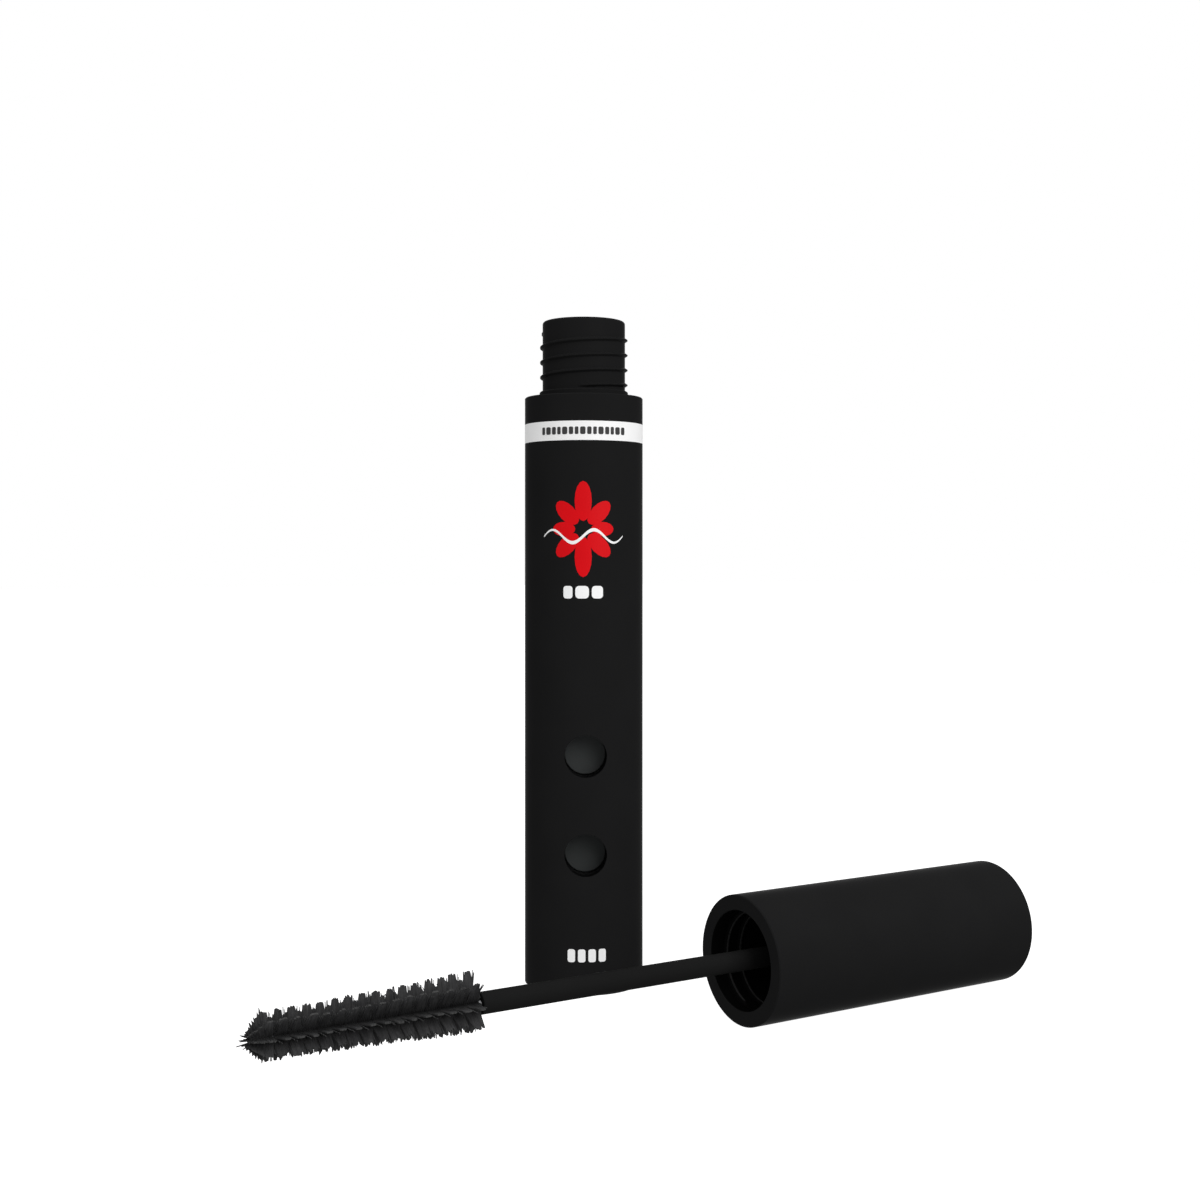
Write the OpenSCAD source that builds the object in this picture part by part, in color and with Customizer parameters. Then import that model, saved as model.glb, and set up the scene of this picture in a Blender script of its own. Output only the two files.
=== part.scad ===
// Mascara tube with its screw-on applicator, uncapped.
// The tube stands upright with the centre of its base at the origin and +Z up.
// The applicator lies on the same surface, its axis along X: brush towards -X, cap towards +X.

/* [Tube] */
// Outer diameter of the tube and of the cap
tube_d = 17; // [16.8:0.1:17.6]
// Wall thickness of the outer sleeve
sleeve_wall = 1.85; // [1.7:0.05:1.9]
// Height of the shoulder that the closed cap sits on
shoulder_z = 84; // [83:0.5:95]
// Width of the bevel on every outer edge
edge_bevel = 0.14; // [0.1:0.02:0.2]
// Height of the white band's lower edge
band_z = 77.4; // [74:0.1:79]
// Height of the white band
band_h = 2.7; // [2:0.1:3]

/* [Windows] */
// Radius of the round windows in the sleeve
window_r = 2.96; // [2.7:0.02:3]
// Height of the upper window's centre
upper_window_z = 33.3; // [31:0.1:36]
// Height of the lower window's centre
lower_window_z = 19.5; // [19:0.1:22]
// Direction that the windows face, from +X towards +Y
window_azimuth = -119.2; // [-180:0.2:180]
// Depth of the discs' faces below the front of the sleeve
disc_depth = 3.55; // [3.45:0.05:3.6]

/* [Neck] */
// Length of the neck above the shoulder
neck_len = 11; // [10.8:0.1:11.4]
// Radius of the neck between the threads
neck_r = 5.95; // [5.7:0.05:5.95]
// Height of the thread above the neck's surface
thread_h = 0.38; // [0.3:0.02:0.38]
// Rise of the thread in one turn
thread_pitch = 2.15; // [2.05:0.05:2.15]
// Turns of thread on the neck
thread_turns = 3.8; // [3:0.1:3.8]
// Direction in which the neck's thread starts, from +X towards +Y
thread_start_azimuth = -134; // [-180:2:180]

/* [Cap] */
// Length of the cap
cap_len = 44.8; // [42:0.2:48]
// Radius of the cap's mouth
mouth_r = 6.45; // [6.45:0.05:6.6]
// Depth of the plain mouth in front of the cap's thread
mouth_depth = 1.5; // [1.4:0.1:1.8]

/* [Wand and brush] */
// Radius of the wand
wand_r = 1.33; // [1.2:0.01:1.4]
// Distance from the cap's mouth to the wand's end
wand_reach = 38.1; // [34.1:0.2:38.1]
// Distance from the cap's mouth to the tip of the brush
brush_reach = 66.7; // [64:0.1:67]
// Radius of the brush at the wand's end
brush_r_back = 3.72; // [3.4:0.02:3.8]
// Radius of the brush where its blunt tip begins
brush_r_front = 2.85; // [2.4:0.05:3.2]

/* [Applicator's place] */
// Where the cap's mouth lies along X
mouth_x = 5.54; // [0:0.02:20]
// Distance of the applicator's axis in front of the tube's axis
applicator_y = -30.14; // [-40:0.02:-20]

/* [Hidden] */
$fn = 96;

tube_r = tube_d / 2;
sleeve_bore_r = tube_r - sleeve_wall;
shoulder_t = 1.6;
band_t = 0.12;
overshoot = 1;

// Inner bottle
bottle_r = sleeve_bore_r - 0.45;
bottle_wall = 0.8;
bottle_bore_r = bottle_r - bottle_wall;
bottle_bottom_z = 13;
bottle_floor_t = 1.2;
flange_r = sleeve_bore_r - 0.05;
flange_h = 2;
collar_r = neck_r + 0.43;
collar_h = 0.9;
neck_top_z = shoulder_z + neck_len;
neck_bore_r = 4.75;
neck_round = 0.4;
bore_cone_h = 2.4;

// Discs and their pockets in the bottle
disc_r = window_r - 0.06;
disc_t = 0.4;
disc_bevel = 0.1;
disc_face_x = tube_r - disc_depth;
pocket_r = disc_r + 0.12;
pocket_floor_x = disc_face_x - disc_t;
pocket_boss_r = pocket_r + 0.6;
pocket_boss_x = pocket_floor_x - 0.6;

// Thread
thread_base_w = 0.95;
thread_crest_w = 0.16;
thread_sunk = 0.2;
thread_clear = 0.08;
thread_top_gap = 1.56;
thread_steps = 36;
thread_fade = 0.05;
neck_thread_z = neck_top_z - thread_top_gap - thread_pitch * thread_turns;

// Wiper
wiper_flange_r = 5.25;
wiper_flange_t = 0.6;
wiper_wall = 0.5;
wiper_r = neck_bore_r - 0.02;
wiper_sleeve_len = 9.4;
wiper_cone_h = 4.6;
orifice_r = 1.55;
orifice_len = 0.8;

// Base plug
plug_r = sleeve_bore_r - 0.02;
plug_wall = 1.2;
plug_floor_t = 1.6;
plug_rib_t = 1;

// Cap
cap_bore_r = 7.25;
end_disc_r = 7.6;
end_disc_t = 1.8;
liner_r = cap_bore_r - 0.02;
liner_thread_r = neck_r + thread_h + thread_clear;
liner_thread_turns = 2;
liner_web_z = 11.8;
liner_web_t = 1.4;
liner_upper_bore_r = 6.4;
stem_socket_r = 3.6;
stem_socket_top = 17;
liner_top = cap_len - end_disc_t;
disc_spigot_len = 3;
disc_spigot_wall = 0.9;

// Seal washer, captive between the wand's flange and the liner's web
washer_t = 0.7;
washer_gap = 0.05;
washer_r = 6.1;
washer_hole_r = 2.75;
washer_z = liner_web_z - washer_gap - washer_t;

// Wand
wand_shank_r = 2.2;
wand_neck_r = 2.6;
wand_flange_r = 3.4;
wand_flange_t = 0.8;
wand_flange_z = washer_z - washer_gap - wand_flange_t;
wand_head_top = stem_socket_top + 0.9;
wand_root_cone_h = 1.6;
wire_hole_r = 0.62;
wire_hole_depth = 8;
wand_end_round = 0.15;

// Brush
strand_r = 0.28;
strand_twist_pitch = 3.2;
strand_sides = 8;
strand_overlap = 0.95;
wire_slices_per_turn = 10;
wire_inset = 0.8;
bristle_hole_r = 0.66;
bristle_gap = 0.5;
brush_tip_r = 0.95;
brush_tip_len = 5.2;

// An arc of points about a centre, from one angle to another.
function arc(centre, r, from, to, steps = 8) =
    [for (i = [0:steps]) let (a = from + (to - from) * i / steps) centre + r * [cos(a), sin(a)]];

// How far the ridge has risen at a point along a thread, 0 at its ends and 1 along its middle.
function rise(turn, turns) = min(1, turn / thread_fade, (turns - turn) / thread_fade);

// A helical ridge that grows out of a cylinder of root_r, outwards or inwards as height is signed.
module thread_ridge(root_r, height, turns) {
    outwards = sign(height);
    steps = ceil(turns * thread_steps);
    sunk_r = root_r - outwards * thread_sunk;
    sections = [for (i = [0:steps])
        let (
            turn = turns * i / steps,
            z = thread_pitch * turn,
            crest_r = root_r + height * rise(turn, turns) - outwards * thread_sunk / 2 * (1 - rise(turn, turns))
        )
        for (corner = [
            [sunk_r, z - thread_base_w / 2], [crest_r, z - thread_crest_w / 2],
            [crest_r, z + thread_crest_w / 2], [sunk_r, z + thread_base_w / 2]
        ]) [corner[0] * cos(360 * turn), corner[0] * sin(360 * turn), corner[1]]
    ];
    sides = [for (i = [0:steps - 1], j = [0:3])
        let (a = 4 * i + j, b = 4 * i + (j + 1) % 4)
        for (face = [[a, b, b + 4], [a, b + 4, a + 4]]) outwards > 0 ? face : [face[2], face[1], face[0]]
    ];
    first = outwards > 0 ? [[3, 2, 1], [3, 1, 0]] : [[1, 2, 3], [0, 1, 3]];
    last = outwards > 0 ? [[0, 1, 2], [0, 2, 3]] : [[2, 1, 0], [3, 2, 0]];
    polyhedron(
        points = sections,
        faces = concat(sides, first, [for (face = last) [for (k = face) k + 4 * steps]]),
        convexity = 10
    );
}

// Turns children that are built along +X to face the windows' direction at a height.
module at_window(z) {
    translate([0, 0, z]) rotate([0, 0, window_azimuth]) children();
}

// A cylinder along +X, from one distance to another.
module radial_cylinder(r, from, to) {
    translate([from, 0, 0]) rotate([0, 90, 0]) cylinder(r = r, h = to - from);
}

// Lays the applicator down: its own axis runs up from the cap's mouth to the cap's far end.
module lay_applicator() {
    translate([mouth_x, applicator_y, tube_r]) rotate([0, 90, 0]) children();
}

module outer_sleeve() {
    hole_r = collar_r + 0.03;
    color([0.1, 0.1, 0.1]) difference() {
        rotate_extrude() polygon([
            [sleeve_bore_r, 0],
            [tube_r - edge_bevel, 0],
            [tube_r, edge_bevel],
            [tube_r, band_z],
            [tube_r - band_t, band_z],
            [tube_r - band_t, band_z + band_h],
            [tube_r, band_z + band_h],
            [tube_r, shoulder_z - edge_bevel],
            [tube_r - edge_bevel, shoulder_z],
            [hole_r, shoulder_z],
            [hole_r, shoulder_z - shoulder_t],
            [sleeve_bore_r, shoulder_z - shoulder_t]
        ]);
        for (z = [upper_window_z, lower_window_z])
            at_window(z) radial_cylinder(window_r, disc_face_x, tube_r + overshoot);
    }
}

module bottle_outside() {
    rotate_extrude() polygon(concat(
        [
            [0, bottle_bottom_z],
            [bottle_r - 1, bottle_bottom_z],
            [bottle_r, bottle_bottom_z + 1],
            [bottle_r, shoulder_z - shoulder_t - flange_h],
            [flange_r, shoulder_z - shoulder_t - flange_h],
            [flange_r, shoulder_z - shoulder_t],
            [collar_r, shoulder_z - shoulder_t],
            [collar_r, shoulder_z + collar_h - edge_bevel],
            [collar_r - edge_bevel, shoulder_z + collar_h],
            [neck_r, shoulder_z + collar_h]
        ],
        arc([neck_r - neck_round, neck_top_z - neck_round], neck_round, 0, 90),
        [[0, neck_top_z]]
    ));
}

module bottle_inside() {
    floor_z = bottle_bottom_z + bottle_floor_t;
    cone_top_z = shoulder_z - shoulder_t;
    rotate_extrude() polygon([
        [0, floor_z],
        [bottle_bore_r - 1, floor_z],
        [bottle_bore_r, floor_z + 1],
        [bottle_bore_r, cone_top_z - bore_cone_h],
        [neck_bore_r, cone_top_z],
        [neck_bore_r, neck_top_z - wiper_flange_t],
        [wiper_flange_r + 0.03, neck_top_z - wiper_flange_t],
        [wiper_flange_r + 0.03, neck_top_z + overshoot],
        [0, neck_top_z + overshoot]
    ]);
}

module inner_bottle() {
    color([0.12, 0.12, 0.12]) difference() {
        union() {
            bottle_outside();
            translate([0, 0, neck_thread_z]) rotate([0, 0, thread_start_azimuth])
                thread_ridge(neck_r, thread_h, thread_turns);
        }
        difference() {
            bottle_inside();
            for (z = [upper_window_z, lower_window_z])
                at_window(z) radial_cylinder(pocket_boss_r, pocket_boss_x, bottle_r);
        }
        for (z = [upper_window_z, lower_window_z])
            at_window(z) radial_cylinder(pocket_r, pocket_floor_x, bottle_r + overshoot);
    }
}

module wiper() {
    flange_z = neck_top_z - wiper_flange_t;
    sleeve_z = flange_z - wiper_sleeve_len;
    cone_z = sleeve_z - wiper_cone_h;
    inner_r = wiper_r - wiper_wall;
    color([0.22, 0.22, 0.23]) rotate_extrude() polygon([
        [inner_r, neck_top_z],
        [inner_r, sleeve_z],
        [orifice_r, cone_z],
        [orifice_r, cone_z - orifice_len],
        [orifice_r + wiper_wall, cone_z - orifice_len],
        [orifice_r + wiper_wall, cone_z],
        [wiper_r, sleeve_z],
        [wiper_r, flange_z],
        [wiper_flange_r, flange_z],
        [wiper_flange_r, neck_top_z - 0.1],
        [wiper_flange_r - 0.1, neck_top_z]
    ]);
}

module base_plug() {
    cup_r = plug_r - plug_wall;
    color([0.1, 0.1, 0.1]) union() {
        rotate_extrude() polygon([
            [0, 0],
            [plug_r - edge_bevel, 0],
            [plug_r, edge_bevel],
            [plug_r, bottle_bottom_z],
            [cup_r, bottle_bottom_z],
            [cup_r, plug_floor_t],
            [0, plug_floor_t]
        ]);
        for (turn = [0, 90])
            rotate([0, 0, turn]) translate([-cup_r - plug_wall / 2, -plug_rib_t / 2, 0])
                cube([2 * cup_r + plug_wall, plug_rib_t, bottle_bottom_z]);
    }
}

// One inlay disc, its face towards +X.
module inlay_disc() {
    color([0.15, 0.16, 0.16]) translate([pocket_floor_x, 0, 0]) rotate([0, 90, 0])
        rotate_extrude() polygon([
            [0, 0],
            [disc_r, 0],
            [disc_r, disc_t - disc_bevel],
            [disc_r - disc_bevel, disc_t],
            [0, disc_t]
        ]);
}

module upper_disc() {
    at_window(upper_window_z) inlay_disc();
}

module lower_disc() {
    at_window(lower_window_z) inlay_disc();
}

module white_band() {
    color([0.95, 0.95, 0.95]) translate([0, 0, band_z]) difference() {
        cylinder(r = tube_r, h = band_h);
        translate([0, 0, -overshoot]) cylinder(r = tube_r - band_t, h = band_h + 2 * overshoot);
    }
}

module cap_shell() {
    color([0.1, 0.1, 0.1]) lay_applicator() rotate_extrude() polygon([
        [mouth_r + edge_bevel, 0],
        [tube_r - edge_bevel, 0],
        [tube_r, edge_bevel],
        [tube_r, cap_len - edge_bevel],
        [tube_r - edge_bevel, cap_len],
        [end_disc_r, cap_len],
        [end_disc_r, liner_top],
        [cap_bore_r, liner_top],
        [cap_bore_r, mouth_depth],
        [mouth_r, mouth_depth],
        [mouth_r, edge_bevel]
    ]);
}

module cap_end_disc() {
    disc_edge_r = end_disc_r - 0.03;
    spigot_r = liner_upper_bore_r - 0.03;
    color([0.1, 0.1, 0.1]) lay_applicator() rotate_extrude() polygon([
        [0, cap_len],
        [disc_edge_r - edge_bevel, cap_len],
        [disc_edge_r, cap_len - edge_bevel],
        [disc_edge_r, liner_top],
        [spigot_r, liner_top],
        [spigot_r, liner_top - disc_spigot_len],
        [spigot_r - disc_spigot_wall, liner_top - disc_spigot_len],
        [spigot_r - disc_spigot_wall, liner_top],
        [0, liner_top]
    ]);
}

module cap_liner() {
    socket_bore_r = wand_shank_r + 0.02;
    color([0.3, 0.3, 0.3]) lay_applicator() union() {
        rotate_extrude() polygon([
            [liner_thread_r, mouth_depth],
            [liner_r, mouth_depth],
            [liner_r, liner_top],
            [liner_upper_bore_r, liner_top],
            [liner_upper_bore_r, liner_web_z + liner_web_t],
            [stem_socket_r, liner_web_z + liner_web_t],
            [stem_socket_r, stem_socket_top],
            [socket_bore_r, stem_socket_top],
            [socket_bore_r, liner_web_z],
            [liner_thread_r, liner_web_z]
        ]);
        translate([0, 0, mouth_depth + thread_base_w / 2])
            thread_ridge(liner_thread_r, -thread_h, liner_thread_turns);
    }
}

module seal_washer() {
    color([0.55, 0.56, 0.56]) lay_applicator() translate([0, 0, washer_z]) difference() {
        cylinder(r = washer_r, h = washer_t);
        translate([0, 0, -overshoot]) cylinder(r = washer_hole_r, h = washer_t + 2 * overshoot);
    }
}

module wand_stem() {
    flange_top = wand_flange_z + wand_flange_t;
    color([0.11, 0.11, 0.11]) lay_applicator() rotate_extrude() polygon(concat(
        [[wire_hole_r, -wand_reach]],
        arc([wand_r - wand_end_round, -wand_reach + wand_end_round], wand_end_round, -90, 0, 4),
        [
            [wand_r, wand_flange_z - wand_root_cone_h],
            [wand_neck_r, wand_flange_z],
            [wand_flange_r, wand_flange_z],
            [wand_flange_r, flange_top],
            [wand_neck_r, flange_top],
            [wand_neck_r, liner_web_z],
            [wand_shank_r, liner_web_z],
            [wand_shank_r, stem_socket_top],
            [wand_shank_r + 0.25, stem_socket_top + 0.1],
            [wand_shank_r - 0.4, wand_head_top],
            [0, wand_head_top],
            [0, -wand_reach + wire_hole_depth],
            [wire_hole_r, -wand_reach + wire_hole_depth]
        ]
    ));
}

module brush_wire() {
    wire_top = -wand_reach + wire_hole_depth - 0.5;
    wire_len = wire_top + brush_reach - wire_inset;
    turns = wire_len / strand_twist_pitch;
    color([0.75, 0.75, 0.76]) lay_applicator() translate([0, 0, wire_top - wire_len])
        linear_extrude(
            height = wire_len, twist = -360 * turns, slices = ceil(turns * wire_slices_per_turn), $fn = strand_sides
        )
            for (side = [-1, 1]) translate([side * strand_r * strand_overlap, 0]) circle(r = strand_r);
}

module bristles() {
    back_z = -wand_reach - bristle_gap;
    color([0.08, 0.08, 0.08]) lay_applicator() rotate_extrude() polygon([
        [bristle_hole_r, back_z],
        [brush_r_back, back_z],
        [brush_r_front, -brush_reach + brush_tip_len],
        [brush_tip_r, -brush_reach],
        [bristle_hole_r, -brush_reach]
    ]);
}

outer_sleeve();
inner_bottle();
wiper();
base_plug();
upper_disc();
lower_disc();
white_band();
cap_shell();
cap_end_disc();
cap_liner();
seal_washer();
wand_stem();
brush_wire();
bristles();
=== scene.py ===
"""Looks for the mascara tube and its applicator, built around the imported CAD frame. Metres, +Z up."""
import math
import random

import bmesh
import bpy
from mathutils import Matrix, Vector


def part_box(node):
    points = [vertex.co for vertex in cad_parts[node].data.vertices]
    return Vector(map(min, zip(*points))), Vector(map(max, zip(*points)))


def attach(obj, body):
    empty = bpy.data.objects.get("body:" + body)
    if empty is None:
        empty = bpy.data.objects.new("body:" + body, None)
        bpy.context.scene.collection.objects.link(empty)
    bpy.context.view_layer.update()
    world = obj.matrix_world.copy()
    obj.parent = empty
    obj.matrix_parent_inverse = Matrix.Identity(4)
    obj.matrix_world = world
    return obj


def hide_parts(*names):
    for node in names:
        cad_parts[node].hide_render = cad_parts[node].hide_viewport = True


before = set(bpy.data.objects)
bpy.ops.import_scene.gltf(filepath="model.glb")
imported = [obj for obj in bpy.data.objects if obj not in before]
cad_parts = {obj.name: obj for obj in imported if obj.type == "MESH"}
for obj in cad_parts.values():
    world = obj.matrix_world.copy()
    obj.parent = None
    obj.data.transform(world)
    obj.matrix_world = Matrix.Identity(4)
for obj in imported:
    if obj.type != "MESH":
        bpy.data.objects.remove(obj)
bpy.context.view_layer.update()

MM = 0.001
DICE = random.Random(7)

# Places taken from the CAD frame
TUBE_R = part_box("outer_sleeve")[1][0]
MOUTH_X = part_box("cap_shell")[0][0]
AXIS_Y = (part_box("cap_shell")[0][1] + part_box("cap_shell")[1][1]) / 2
AXIS_Z = (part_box("cap_shell")[0][2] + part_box("cap_shell")[1][2]) / 2
BRUSH_BACK = MOUTH_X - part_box("bristles")[1][0]
BRUSH_TIP = MOUTH_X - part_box("bristles")[0][0]
MOUTH_R = 6.45 * MM
LINER_CREST_R = 6.12 * MM
CASE_ROUGHNESS = 0.22
CASE_SPECULAR = 0.002
BAND_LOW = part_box("white_band")[0][2]
BAND_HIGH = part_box("white_band")[1][2]

# The camera looks level, turned from +Y by this much towards +X
VIEW_TURN = math.radians(31.7)
CAMERA_PLACE = (-0.11965, -0.19818, 0.06093)
CAMERA_LENS = 48.08
CAMERA_SHIFT_Y = -0.0348
FRONT = -math.pi / 2 - VIEW_TURN

# Light: strength of the light from all round, and of the backdrop as the camera sees it
FILL_STRENGTH = 0.54
BACKDROP_STRENGTH = 1.0
KEY_PLACE, KEY_SIZE, KEY_WATTS = (0.06, -0.62, 0.4), (0.5, 0.5), 3.0
OVERHEAD_PLACE, OVERHEAD_SIZE, OVERHEAD_WATTS = (-0.2, 0.1, 1.2), (1.2, 1.2), 6
LIGHT_TARGET = (0, 0, 0.05)
FLOOR_HALF = 3.0
FLOOR_DROP = 0.00002


# ---------------------------------------------------------------- camera, floor and light

def make_camera():
    cam = bpy.data.cameras.new("camera")
    cam.sensor_width = 36
    cam.lens = CAMERA_LENS
    cam.shift_y = CAMERA_SHIFT_Y
    cam.clip_start = 0.01
    obj = bpy.data.objects.new("camera", cam)
    obj.location = CAMERA_PLACE
    obj.rotation_euler = (math.pi / 2, 0, -VIEW_TURN)
    bpy.context.collection.objects.link(obj)
    bpy.context.scene.camera = obj


def make_world():
    """A white backdrop, and a softer light from all round than that backdrop would give."""
    world = bpy.data.worlds.new("studio")
    bpy.context.scene.world = world
    world.use_nodes = True
    tree = world.node_tree
    fill = tree.nodes["Background"]
    fill.inputs["Color"].default_value = (1, 1, 1, 1)
    fill.inputs["Strength"].default_value = FILL_STRENGTH
    backdrop = tree.nodes.new("ShaderNodeBackground")
    backdrop.inputs["Color"].default_value = (1, 1, 1, 1)
    backdrop.inputs["Strength"].default_value = BACKDROP_STRENGTH
    path = tree.nodes.new("ShaderNodeLightPath")
    choice = tree.nodes.new("ShaderNodeMixShader")
    tree.links.new(path.outputs["Is Camera Ray"], choice.inputs["Fac"])
    tree.links.new(fill.outputs["Background"], choice.inputs[1])
    tree.links.new(backdrop.outputs["Background"], choice.inputs[2])
    tree.links.new(choice.outputs["Shader"], tree.nodes["World Output"].inputs["Surface"])


def make_softbox(name, place, target, size, power):
    light = bpy.data.lights.new(name, "AREA")
    light.shape = "RECTANGLE"
    light.size, light.size_y = size
    light.energy = power
    obj = bpy.data.objects.new(name, light)
    obj.location = place
    obj.rotation_euler = (Vector(target) - Vector(place)).to_track_quat("-Z", "Y").to_euler()
    bpy.context.collection.objects.link(obj)


def make_floor():
    half = FLOOR_HALF
    corners = [(-half, -half, 0), (half, -half, 0), (half, half, 0), (-half, half, 0)]
    mesh = bpy.data.meshes.new("floor")
    mesh.from_pydata(corners, [], [(0, 1, 2, 3)])
    obj = bpy.data.objects.new("floor", mesh)
    obj.location.z = -FLOOR_DROP
    mat = bpy.data.materials.new("floor_white")
    mat.use_nodes = True
    shader = mat.node_tree.nodes["Principled BSDF"]
    shader.inputs["Base Color"].default_value = (0.3, 0.3, 0.3, 1)
    shader.inputs["Roughness"].default_value = 0.9
    shader.inputs["Specular IOR Level"].default_value = 0.0
    shader.inputs["Emission Color"].default_value = (1, 1, 1, 1)
    shader.inputs["Emission Strength"].default_value = 1.0
    mesh.materials.append(mat)
    bpy.context.collection.objects.link(obj)
    # The floor is seen, but neither blocks the light from all round nor adds to it
    obj.visible_diffuse = False
    obj.visible_glossy = False
    obj.visible_shadow = False


# ---------------------------------------------------------------- materials

def new_material(name, roughness, specular):
    mat = bpy.data.materials.new(name)
    mat.use_nodes = True
    shader = mat.node_tree.nodes["Principled BSDF"]
    shader.inputs["Roughness"].default_value = roughness
    shader.inputs["Specular IOR Level"].default_value = specular
    return mat, mat.node_tree, shader


def noise(tree, scale, detail=2.0):
    """A noise texture fixed to the piece, with features about 1 / scale metres across."""
    coords = tree.nodes.new("ShaderNodeTexCoord")
    texture = tree.nodes.new("ShaderNodeTexNoise")
    texture.inputs["Scale"].default_value = scale
    texture.inputs["Detail"].default_value = detail
    tree.links.new(coords.outputs["Object"], texture.inputs["Vector"])
    return texture.outputs["Fac"]


def ramp(tree, value, stops):
    """Maps a value to colours through (position, colour) stops."""
    node = tree.nodes.new("ShaderNodeValToRGB")
    elements = node.color_ramp.elements
    while len(elements) < len(stops):
        elements.new(0.5)
    for element, (place, colour) in zip(elements, stops):
        element.position = place
        element.color = (*colour, 1)
    tree.links.new(value, node.inputs["Fac"])
    return node.outputs["Color"]


def remap(tree, value, low, high):
    node = tree.nodes.new("ShaderNodeMapRange")
    node.inputs["To Min"].default_value = low
    node.inputs["To Max"].default_value = high
    tree.links.new(value, node.inputs["Value"])
    return node.outputs["Result"]


def bump(tree, shader, height, distance, strength):
    node = tree.nodes.new("ShaderNodeBump")
    node.inputs["Distance"].default_value = distance
    node.inputs["Strength"].default_value = strength
    tree.links.new(height, node.inputs["Height"])
    tree.links.new(node.outputs["Normal"], shader.inputs["Normal"])


def moulded_plastic(name, colour, roughness, specular, grain=0.00012, depth=0.000004):
    """Moulded plastic: a fine grain, and a slow drift in colour and gloss."""
    mat, tree, shader = new_material(name, roughness, specular)
    darker = tuple(0.95 * c for c in colour)
    lighter = tuple(1.05 * c for c in colour)
    slow = noise(tree, 120)
    tree.links.new(ramp(tree, slow, [(0.3, darker), (0.7, lighter)]), shader.inputs["Base Color"])
    gloss = remap(tree, noise(tree, 300), roughness - 0.04, roughness + 0.04)
    tree.links.new(gloss, shader.inputs["Roughness"])
    bump(tree, shader, noise(tree, 1 / grain, 3), depth, 0.5)
    return mat


def moulded_with_painted_shade(name, outside, inside, axis, axis_at, shade_split_r, roughness, specular):
    """Moulded plastic in two tones split by a radius about an axis; the darker tone is painted shade in
    hollows and recesses.
    """
    mat = moulded_plastic(name, outside, roughness, specular)
    tree = mat.node_tree
    shader = tree.nodes["Principled BSDF"]
    outside_tone = shader.inputs["Base Color"].links[0].from_socket
    coords = tree.nodes.new("ShaderNodeTexCoord")
    shift = tree.nodes.new("ShaderNodeVectorMath")
    shift.operation = "SUBTRACT"
    shift.inputs[1].default_value = axis_at
    flat = tree.nodes.new("ShaderNodeVectorMath")
    flat.operation = "MULTIPLY"
    flat.inputs[1].default_value = tuple(1 - a for a in axis)
    length = tree.nodes.new("ShaderNodeVectorMath")
    length.operation = "LENGTH"
    # Which side of the split radius a point lies on; the darker side carries painted shade
    within = tree.nodes.new("ShaderNodeMath")
    within.operation = "LESS_THAN"
    within.inputs[1].default_value = shade_split_r
    mix = tree.nodes.new("ShaderNodeMix")
    mix.data_type = "RGBA"
    tree.links.new(coords.outputs["Object"], shift.inputs[0])
    tree.links.new(shift.outputs["Vector"], flat.inputs[0])
    tree.links.new(flat.outputs["Vector"], length.inputs[0])
    tree.links.new(length.outputs["Value"], within.inputs[0])
    tree.links.new(within.outputs["Value"], mix.inputs["Factor"])
    tree.links.new(outside_tone, mix.inputs["A"])
    painted_shade_split_tone = ramp(tree, noise(tree, 500), [(0.3, tuple(0.8 * c for c in inside)), (0.7, inside)])
    tree.links.new(painted_shade_split_tone, mix.inputs["B"])
    tree.links.new(mix.outputs["Result"], shader.inputs["Base Color"])
    return mat


# ---------------------------------------------------------------- meshes

def add_piece(name, verts, faces, materials, face_materials=None, smooth=True):
    mesh = bpy.data.meshes.new(name)
    mesh.from_pydata([tuple(v) for v in verts], [], faces)
    for mat in materials:
        mesh.materials.append(mat)
    if face_materials:
        mesh.polygons.foreach_set("material_index", face_materials)
    mesh.polygons.foreach_set("use_smooth", [smooth] * len(mesh.polygons))
    mesh.update()
    obj = bpy.data.objects.new(name, mesh)
    bpy.context.collection.objects.link(obj)
    return obj


# ---------------------------------------------------------------- printed marks on the sleeve

INK_LOW = -0.00002
INK_HIGH = 0.00003
INK_STEP = 0.00002
SLICE = 0.0004

# Heights of the marks up the sleeve, and how far the lowest one sits round from the front
EMBLEM_Z = 65 * MM
RIBBON_Z = 64 * MM
UPPER_DASHES_Z = 56.2 * MM
LOWER_DASHES_Z = 5.6 * MM
LOWER_DASHES_TURN = math.radians(3.5)
DASH_GAP = 0.4 * MM
BAND_MARK_GAP = 0.24 * MM
# How far each of the first four petals reaches and how wide it is, in millimetres; the rest repeat them
PETALS = [(4.4, 2.0), (5.3, 2.3), (6.7, 2.4), (5.3, 2.3)]


def wrap_print(name, outlines, height, azimuth, mat, layer=0):
    """Wraps flat outlines, in metres along the surface and up it, round the sleeve as thin ink."""
    top = INK_HIGH + layer * INK_STEP
    bm = bmesh.new()
    for outline in outlines:
        bm.faces.new([bm.verts.new((u, v, INK_LOW)) for u, v in outline])
    bmesh.ops.triangulate(bm, faces=bm.faces)
    half = max(abs(v.co.x) for v in bm.verts)
    cuts = int(half / SLICE)
    for i in range(-cuts, cuts + 1):
        everything = list(bm.verts) + list(bm.edges) + list(bm.faces)
        bmesh.ops.bisect_plane(bm, geom=everything, plane_co=(i * SLICE, 0, 0), plane_no=(1, 0, 0))
    grown = bmesh.ops.extrude_face_region(bm, geom=list(bm.faces))
    for part in grown["geom"]:
        if isinstance(part, bmesh.types.BMVert):
            part.co.z = top
    bmesh.ops.recalc_face_normals(bm, faces=bm.faces)
    for v in bm.verts:
        turn = azimuth + v.co.x / TUBE_R
        r = TUBE_R + v.co.z
        v.co = Vector((r * math.cos(turn), r * math.sin(turn), height + v.co.y))
    mesh = bpy.data.meshes.new(name)
    bm.to_mesh(mesh)
    bm.free()
    mesh.materials.append(mat)
    obj = bpy.data.objects.new(name, mesh)
    bpy.context.collection.objects.link(obj)
    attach(obj, "tube")
    return obj


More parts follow.
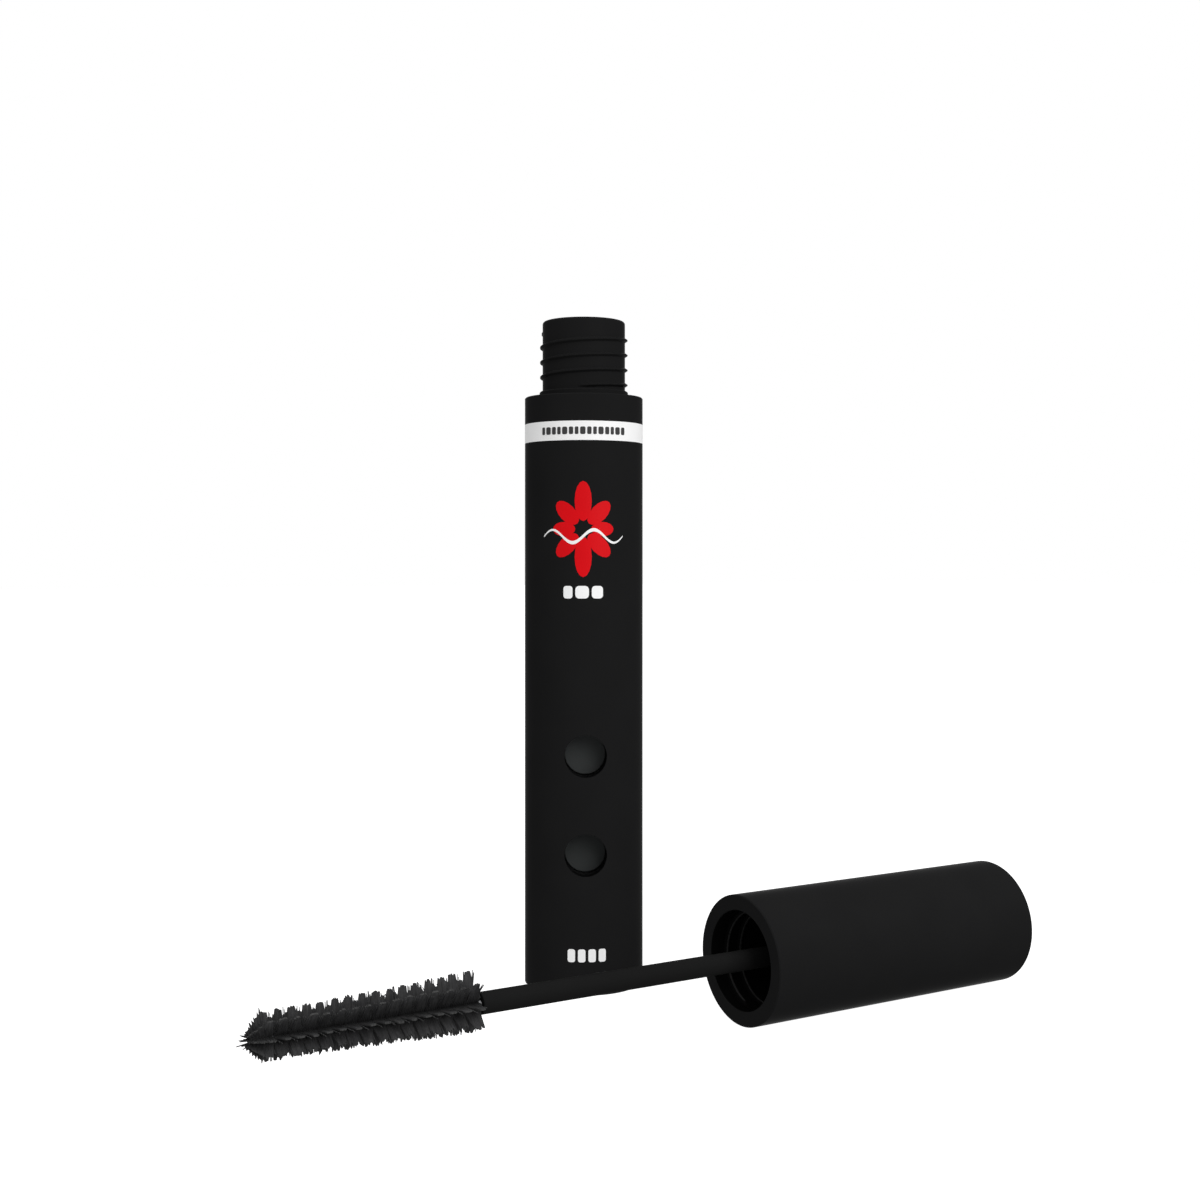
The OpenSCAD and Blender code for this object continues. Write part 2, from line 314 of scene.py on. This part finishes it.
def rounded_bar(u, v, width, height, corner):
    """Outline of a bar with rounded corners, centred at u, v."""
    points = []
    for k, (su, sv) in enumerate([(1, 1), (-1, 1), (-1, -1), (1, -1)]):
        for i in range(5):
            a = math.radians(90 * k + 22.5 * i)
            points.append((u + su * (width / 2 - corner) + corner * math.cos(a),
                           v + sv * (height / 2 - corner) + corner * math.sin(a)))
    return points


def petal(u, v, inner, outer, width, turn):
    """Outline of a petal that starts inner from the centre and ends outer from it."""
    points = []
    steps = 16
    for i in range(steps):
        a = 2 * math.pi * i / steps
        along = (inner + outer) / 2 + (outer - inner) / 2 * math.cos(a)
        across = width / 2 * math.sin(a)
        points.append((u + along * math.cos(turn) - across * math.sin(turn),
                       v + along * math.sin(turn) + across * math.cos(turn)))
    return points


def dash_row(widths, gap, height):
    """Outlines of a centred row of rounded dashes."""
    total = sum(widths) + gap * (len(widths) - 1)
    outlines = []
    u = -total / 2
    for width in widths:
        outlines.append(rounded_bar(u + width / 2, 0, width, height, min(width, height) * 0.3))
        u += width + gap
    return outlines


def wave_ribbon(length, swing, thickness, waves):
    """Outline of a level ribbon that waves up and down, thinning to both ends."""
    steps = 48
    upper, lower = [], []
    for i in range(steps + 1):
        t = i / steps
        v = swing * math.sin(2 * math.pi * waves * t)
        half = thickness / 2 * (0.35 + 0.65 * math.sin(math.pi * t))
        upper.append(((t - 0.5) * length, v + half))
        lower.append(((t - 0.5) * length, v - half))
    return upper + lower[::-1]


def make_prints():
    red = moulded_plastic("ink_red", (0.68, 0.002, 0.006), 0.4, 0.1)
    white = moulded_plastic("ink_white", (0.92, 0.92, 0.92), 0.45, 0.1)
    black = moulded_plastic("ink_black", (0.05, 0.05, 0.05), 0.45, 0.1)
    rosette = [petal(0, 0, 1.1 * MM, reach * MM, width * MM, math.radians(45 * k))
               for k, (reach, width) in enumerate(PETALS * 2)]
    ribbon = [wave_ribbon(11.9 * MM, 0.9 * MM, 0.5 * MM, 2)]
    upper_dashes = dash_row([1.3 * MM, 1.9 * MM, 1.6 * MM], DASH_GAP, 1.75 * MM)
    lower_dashes = dash_row([1.05 * MM] * 4, DASH_GAP, 1.8 * MM)
    band_marks = dash_row([0.5 * MM, 0.75 * MM, 0.6 * MM] * 5, BAND_MARK_GAP, 1.05 * MM)
    band_middle = (BAND_LOW + BAND_HIGH) / 2
    lower_turn = FRONT + LOWER_DASHES_TURN
    pieces = [
        wrap_print("emblem_print", rosette, EMBLEM_Z, FRONT, red),
        wrap_print("ribbon_print", ribbon, RIBBON_Z, FRONT, white, 1),
        wrap_print("upper_dashes_print", upper_dashes, UPPER_DASHES_Z, FRONT, white),
        wrap_print("lower_dashes_print", lower_dashes, LOWER_DASHES_Z, lower_turn, white),
        wrap_print("band_marks_print", band_marks, band_middle, FRONT, black),
    ]


# ---------------------------------------------------------------- brush

FIRST_ROW = math.radians(7)
# Going round the brush: half the width of a clump's cut end and how ragged it is, in millimetres,
# then the fine and the coarse loose fibres between two clumps
ROWS = [
    (0.4, 0.12, 4, 0), (0.42, 0.2, 4, 0), (0.44, 0.3, 2, 2), (0.42, 0.4, 2, 3),
    (0.45, 0.4, 2, 3), (0.5, 0.4, 2, 2), (0.58, 0.5, 2, 1), (0.62, 0.5, 2, 0)
]
STATIONS = 15
STATION_GAP = 1.65 * MM
FIRST_STATION = BRUSH_BACK + 1.1 * MM
CORE_R = 0.5 * MM
ROOT_R = 0.45 * MM
LOPSIDED = 0.08


def brush_radius(s, row_angle):
    """How far the bristles reach from the axis in a row, at a distance s from the cap's mouth."""
    along = s - FIRST_STATION
    even = max(3.62 * MM - 0.04 * along, 3.2 * MM - 0.017 * along)
    return even * (1 + LOPSIDED * math.sin(row_angle))


def brush_point(s, r, across, row_angle):
    """A point s along the brush, r out from its axis in a row's direction and across it."""
    c, n = math.cos(row_angle), math.sin(row_angle)
    return Vector((MOUTH_X - s, AXIS_Y - r * c + across * n, AXIS_Z + r * n + across * c))


class BrushMesh:
    """Gathers tufts and single bristles into one mesh, with the cut ends as a second material."""

    def __init__(self):
        self.verts, self.faces, self.kinds = [], [], []

    def face(self, corners, kind=0):
        self.faces.append(tuple(corners))
        self.kinds.append(kind)

    def tuft(self, row_angle, root, tip, thick_tip, fray, bend):
        """A flat clump of fibres. root and tip give (s, r) for each place from 0 to 1 across the clump."""
        fibres = 8
        columns = 2 * fibres
        levels = 8
        merged = 0.28
        gather_curve = 0.62
        thinned_by = 0.45
        groove_share = 0.7
        edge_share = 0.3
        thick_root = 0.66 * MM
        start = len(self.verts)
        drops = [DICE.uniform(0, 1) ** 2 * fray for _ in range(fibres + 1)]
        for side in (-1, 1):
            for j in range(levels + 1):
                t = j / levels
                gather = max(0, (t - merged) / (1 - merged)) ** gather_curve
                for i in range(columns + 1):
                    u = i / columns
                    s0, r0 = root(u)
                    s1, r1 = tip(u)
                    s = s0 + (s1 - s0) * gather
                    r = r0 + (r1 - r0 - drops[i // 2]) * t
                    groove = groove_share if i % 2 == 0 else 1.0
                    rim = edge_share if i in (0, columns) else groove
                    body = thick_root + (thick_tip - thick_root) * min(1, t / thinned_by)
                    across = side * body / 2 * rim + bend * t * t
                    self.verts.append(brush_point(s, r, across, row_angle))
        width = columns + 1
        back = start + (levels + 1) * width
        for j in range(levels):
            for i in range(columns):
                a, b = start + j * width + i, start + j * width + i + 1
                c, d = b + width, a + width
                self.face((a, b, c, d))
                a, b, c, d = (k - start + back for k in (a, b, c, d))
                self.face((d, c, b, a))
            for i, flip in ((0, False), (columns, True)):
                a, d = start + j * width + i, start + (j + 1) * width + i
                b, c = a - start + back, d - start + back
                self.face((a, b, c, d) if flip else (d, c, b, a))
        for j, kind, flip in ((0, 0, True), (levels, 1, False)):
            for i in range(columns):
                a, b = start + j * width + i, start + j * width + i + 1
                c, d = b - start + back, a - start + back
                self.face((d, c, b, a) if flip else (a, b, c, d), kind)

    def bristle(self, foot, end, foot_radius, end_radius, sides=5):
        """A single fibre, or a few stuck together, between two points."""
        along = (end - foot).normalized()
        side = along.orthogonal().normalized()
        other = along.cross(side)
        start = len(self.verts)
        stops = ((0, foot_radius), (0.6, (foot_radius + end_radius) / 2), (1, end_radius))
        for t, radius in stops:
            centre = foot.lerp(end, t)
            for k in range(sides):
                a = 2 * math.pi * k / sides
                self.verts.append(centre + radius * (math.cos(a) * side + math.sin(a) * other))
        for j in range(len(stops) - 1):
            for k in range(sides):
                a, b = start + j * sides + k, start + j * sides + (k + 1) % sides
                self.face((a, b, b + sides, a + sides))
        last = start + (len(stops) - 1) * sides
        self.face([start + k for k in reversed(range(sides))])
        self.face([last + k for k in range(sides)], 1)

    def core(self, low, high, radius, sides=24):
        """The closed middle that the clumps grow from."""
        start = len(self.verts)
        stops = [(low, 0.9), (low + 0.2 * MM, 1), (high - 1.2 * MM, 1), (high - 0.3 * MM, 0.7), (high, 0.3)]
        for s, swell in stops:
            for k in range(sides):
                self.verts.append(brush_point(s, radius * swell, 0, -2 * math.pi * k / sides))
        for j in range(len(stops) - 1):
            for k in range(sides):
                a, b = start + j * sides + k, start + j * sides + (k + 1) % sides
                self.face((a, b, b + sides, a + sides))
        last = start + (len(stops) - 1) * sides
        self.face([start + k for k in reversed(range(sides))])
        self.face([last + k for k in range(sides)])


def build_clump(brush, angle, s, half_tip, lean, fray, back_root):
    """One clump of a row, wide where it joins its neighbours and drawn together at its cut end."""
    reach = brush_radius(s, angle) + DICE.uniform(-0.14, 0.08) * MM
    front_root = STATION_GAP * 0.53

    def root(u):
        return s - back_root + (back_root + front_root) * u, ROOT_R

    def tip(u):
        crown = 0.12 * MM * (2 * u - 1) ** 2
        return s + lean + (2 * u - 1) * half_tip, reach - crown

    brush.tuft(angle, root, tip, 0.25 * MM, fray, DICE.uniform(-0.12, 0.12) * MM)
    return reach


def build_gap(brush, angle, s, reach, fine, coarse):
    """The loose fibres between two clumps: a slanting line of fine ones and some coarse ones."""
    for j in range(fine):
        gap_s = s + (0.26 - 0.18 * j) * MM
        across = (0.06 - 0.13 * j) * MM
        foot = brush_point(gap_s, CORE_R * 0.8, across * 0.4, angle)
        end_s = gap_s + DICE.uniform(-0.08, 0.08) * MM
        end = brush_point(end_s, reach * DICE.uniform(0.84, 0.99), across, angle)
        brush.bristle(foot, end, 0.05 * MM, 0.05 * MM)
    for j in range(coarse):
        gap_s = s + DICE.uniform(-0.5, 0.5) * MM
        across = DICE.uniform(-0.12, 0.12) * MM
        foot = brush_point(gap_s, CORE_R * 0.8, across * 0.4, angle)
        end_s = gap_s + DICE.uniform(-0.2, 0.2) * MM
        end = brush_point(end_s, reach * DICE.uniform(0.74, 1.02), across, angle)
        brush.bristle(foot, end, 0.14 * MM, 0.075 * MM)


def build_row(brush, row):
    angle = FIRST_ROW + 2 * math.pi * row / len(ROWS)
    half_tip, fray, fine, coarse = ROWS[row]
    for k in range(STATIONS):
        s = FIRST_STATION + k * STATION_GAP
        lean = DICE.uniform(-0.15, 0.15) * MM - (0.25 * MM if k == 0 else 0)
        back_root = 1.3 * MM if k == 0 else STATION_GAP * 0.53
        width = half_tip * DICE.uniform(0.78, 1.2) * MM
        reach = build_clump(brush, angle, s, width, lean, fray * MM, back_root)
        build_gap(brush, angle, s + STATION_GAP / 2, reach, fine, coarse)
    build_back_splay(brush, angle)
    build_tip_fan(brush, angle)


def build_back_splay(brush, angle):
    """The few fibres that spread towards the wand behind a row's first clump."""
    for k in range(3):
        foot = brush_point(FIRST_STATION - 0.5 * MM, CORE_R, 0, angle)
        reach = brush_radius(FIRST_STATION, angle) * DICE.uniform(0.8, 1.03)
        end_s = FIRST_STATION - DICE.uniform(0.75, 1.3) * MM
        end = brush_point(end_s, reach, DICE.uniform(-0.1, 0.1) * MM, angle)
        brush.bristle(foot, end, 0.12 * MM, 0.05 * MM)


def build_tip_fan(brush, angle):
    """The last clump of a row, cut along the blunt cone at the brush's tip."""
    back = FIRST_STATION + (STATIONS - 0.5) * STATION_GAP
    front = BRUSH_TIP - 0.4 * MM
    top_back, top_front = back + 0.45 * MM, back + 1.1 * MM
    reach = brush_radius(back, angle) - DICE.uniform(0.0, 0.15) * MM
    nose = 0.75 * MM
    corner = 0.3

    def root(u):
        return back + (front - back) * u, ROOT_R

    def tip(u):
        if u < corner:
            return top_back + (top_front - top_back) * u / corner, reach
        v = (u - corner) / (1 - corner)
        return top_front + (BRUSH_TIP - 0.1 * MM - top_front) * v, reach + (nose - reach) * v

    brush.tuft(angle, root, tip, 0.22 * MM, 0.3 * MM, DICE.uniform(-0.08, 0.08) * MM)
    teeth = 6
    for k in range(teeth):
        u = corner + (1 - corner) * (k + DICE.uniform(0.2, 0.8)) / teeth
        s0, r0 = root(u)
        s1, r1 = tip(u)
        stretch = DICE.uniform(1.06, 1.24)
        foot = brush_point(s0 + (s1 - s0) * 0.6, r0 + (r1 - r0) * 0.6, 0, angle)
        spread = DICE.uniform(-0.12, 0.12) * MM
        end = brush_point(s0 + (s1 - s0) * stretch, r0 + (r1 - r0) * stretch, spread, angle)
        brush.bristle(foot, end, 0.22 * MM, 0.04 * MM)


def build_nose(brush):
    """The stray fibres at the very tip."""
    for k in range(7):
        angle = 2 * math.pi * (k + DICE.uniform(0, 0.6)) / 7
        foot = brush_point(BRUSH_TIP - 1.2 * MM, 0.3 * MM, 0, angle)
        end = brush_point(BRUSH_TIP + DICE.uniform(0, 0.9) * MM, DICE.uniform(0.4, 1.2) * MM, 0, angle)
        brush.bristle(foot, end, 0.12 * MM, 0.05 * MM)


def fibre_painted_shade(tree, colour):
    """Paints shade on a colour: darker towards the brush's axis, deep among the fibres, and lighter out at
    their ends; and streaks it along the fibres.
    """
    coords = tree.nodes.new("ShaderNodeTexCoord")
    place = tree.nodes.new("ShaderNodeVectorMath")
    place.operation = "SUBTRACT"
    place.inputs[1].default_value = (0, AXIS_Y, AXIS_Z)
    across = tree.nodes.new("ShaderNodeVectorMath")
    across.operation = "MULTIPLY"
    across.inputs[1].default_value = (0, 1, 1)
    reach = tree.nodes.new("ShaderNodeVectorMath")
    reach.operation = "LENGTH"
    # Painted shade: half as bright near the core, a quarter brighter out towards the tips
    depth = tree.nodes.new("ShaderNodeMapRange")
    depth.inputs["From Min"].default_value = 0.8 * MM
    depth.inputs["From Max"].default_value = 3.2 * MM
    depth.inputs["To Min"].default_value = 0.5
    depth.inputs["To Max"].default_value = 1.25
    stretch = tree.nodes.new("ShaderNodeVectorMath")
    stretch.operation = "MULTIPLY"
    stretch.inputs[1].default_value = (1, 0.1, 0.1)
    streaks = tree.nodes.new("ShaderNodeTexNoise")
    streaks.inputs["Scale"].default_value = 4500
    lines = remap(tree, streaks.outputs["Fac"], 0.45, 1.55)
    both = tree.nodes.new("ShaderNodeMath")
    both.operation = "MULTIPLY"
    shade = tree.nodes.new("ShaderNodeVectorMath")
    shade.operation = "SCALE"
    tree.links.new(coords.outputs["Object"], place.inputs[0])
    tree.links.new(place.outputs["Vector"], across.inputs[0])
    tree.links.new(across.outputs["Vector"], reach.inputs[0])
    tree.links.new(reach.outputs["Value"], depth.inputs["Value"])
    tree.links.new(coords.outputs["Object"], stretch.inputs[0])
    tree.links.new(stretch.outputs["Vector"], streaks.inputs["Vector"])
    tree.links.new(depth.outputs["Result"], both.inputs[0])
    tree.links.new(lines, both.inputs[1])
    tree.links.new(colour, shade.inputs[0])
    tree.links.new(both.outputs["Value"], shade.inputs["Scale"])
    return shade.outputs["Vector"]


def bristle_material():
    """Black nylon with painted shade deeper among the fibres, and a lighter tone where the fibres are cut.
    """
    mat, tree, shader = new_material("nylon_black", 0.5, 0.03)
    colour = ramp(tree, noise(tree, 900), [(0.3, (0.036, 0.036, 0.037)), (0.7, (0.052, 0.052, 0.053))])
    tree.links.new(fibre_painted_shade(tree, colour), shader.inputs["Base Color"])
    bump(tree, shader, noise(tree, 9000), 0.00001, 0.4)
    ends, tree, shader = new_material("nylon_cut_ends", 0.6, 0.03)
    colour = ramp(tree, noise(tree, 4000), [(0.3, (0.04, 0.04, 0.04)), (0.7, (0.065, 0.065, 0.065))])
    tree.links.new(colour, shader.inputs["Base Color"])
    return mat, ends


def make_brush():
    brush = BrushMesh()
    brush.core(BRUSH_BACK - 0.45 * MM, BRUSH_TIP - 0.5 * MM, CORE_R)
    for row in range(len(ROWS)):
        build_row(brush, row)
    build_nose(brush)
    obj = add_piece("brush_fibres", brush.verts, brush.faces, bristle_material(), brush.kinds, smooth=False)
    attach(obj, "applicator")
    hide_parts("bristles")


# ---------------------------------------------------------------- materials on the CAD nodes

def dress_frame():
    # The darker second tone here is painted shade: it darkens the sleeve's inner wall and window walls, and
    # the cap inside its mouth
    black, painted_shade_split_tone = (0.0118, 0.0118, 0.012), (0.003, 0.003, 0.003)
    case = moulded_plastic("case_satin", black, CASE_ROUGHNESS, CASE_SPECULAR)
    tube_axis, cap_axis = ((0, 0, 1), (0, 0, 0)), ((1, 0, 0), (0, AXIS_Y, AXIS_Z))
    satin = (CASE_ROUGHNESS, CASE_SPECULAR)
    sleeve = moulded_with_painted_shade("sleeve_satin_painted_shade", black, painted_shade_split_tone, *tube_axis, TUBE_R - 0.15 * MM, *satin)
    cap = moulded_with_painted_shade("cap_satin_painted_shade", black, painted_shade_split_tone, *cap_axis, MOUTH_R + 0.05 * MM, *satin)
    bottle = moulded_plastic("bottle_satin", black, CASE_ROUGHNESS, CASE_SPECULAR)
    finishes = {
        "outer_sleeve": sleeve,
        "base_plug": case,
        "cap_shell": cap,
        "cap_end_disc": case,
        "inner_bottle": bottle,
        "wiper": moulded_plastic("wiper_elastomer", (0.03, 0.03, 0.032), 0.6, 0.3),
        "upper_disc": moulded_plastic("disc_slate", (0.055, 0.0585, 0.0585), 0.35, 0.01),
        # The lower disc takes a darker copy of the upper disc's slate: painted shade, darker lower down the
        # tube
        "lower_disc": moulded_plastic("disc_slate_painted_shade_lower", (0.048, 0.0512, 0.0512), 0.35, 0.01),
        "white_band": moulded_plastic("band_film", (0.93, 0.93, 0.93), 0.5, 0.3, depth=0.000001),
        # The liner is darkened outside its crest radius, in the roots of its thread, as painted shade; the
        # crests keep the liner's own dark grey
        "cap_liner": moulded_with_painted_shade("liner_painted_shade", painted_shade_split_tone, (0.026, 0.026, 0.026), *cap_axis,
                                   LINER_CREST_R, 0.4, 0.01),
        "seal_washer": moulded_plastic("seal_foam", (0.12, 0.12, 0.12), 0.8, 0.2),
        "wand_stem": moulded_plastic("wand_moulded", (0.0105, 0.0105, 0.0105), 0.3, 0.002),
        "brush_wire": moulded_plastic("wire_steel", (0.35, 0.35, 0.36), 0.3, 0.5),
    }
    for node, mat in finishes.items():
        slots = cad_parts[node].material_slots
        for slot in slots:
            slot.material = mat


make_camera()
make_world()
make_floor()
make_softbox("key", KEY_PLACE, LIGHT_TARGET, KEY_SIZE, KEY_WATTS)
make_softbox("overhead", OVERHEAD_PLACE, LIGHT_TARGET, OVERHEAD_SIZE, OVERHEAD_WATTS)
dress_frame()
make_prints()
make_brush()
bpy.context.scene.view_settings.view_transform = "Standard"
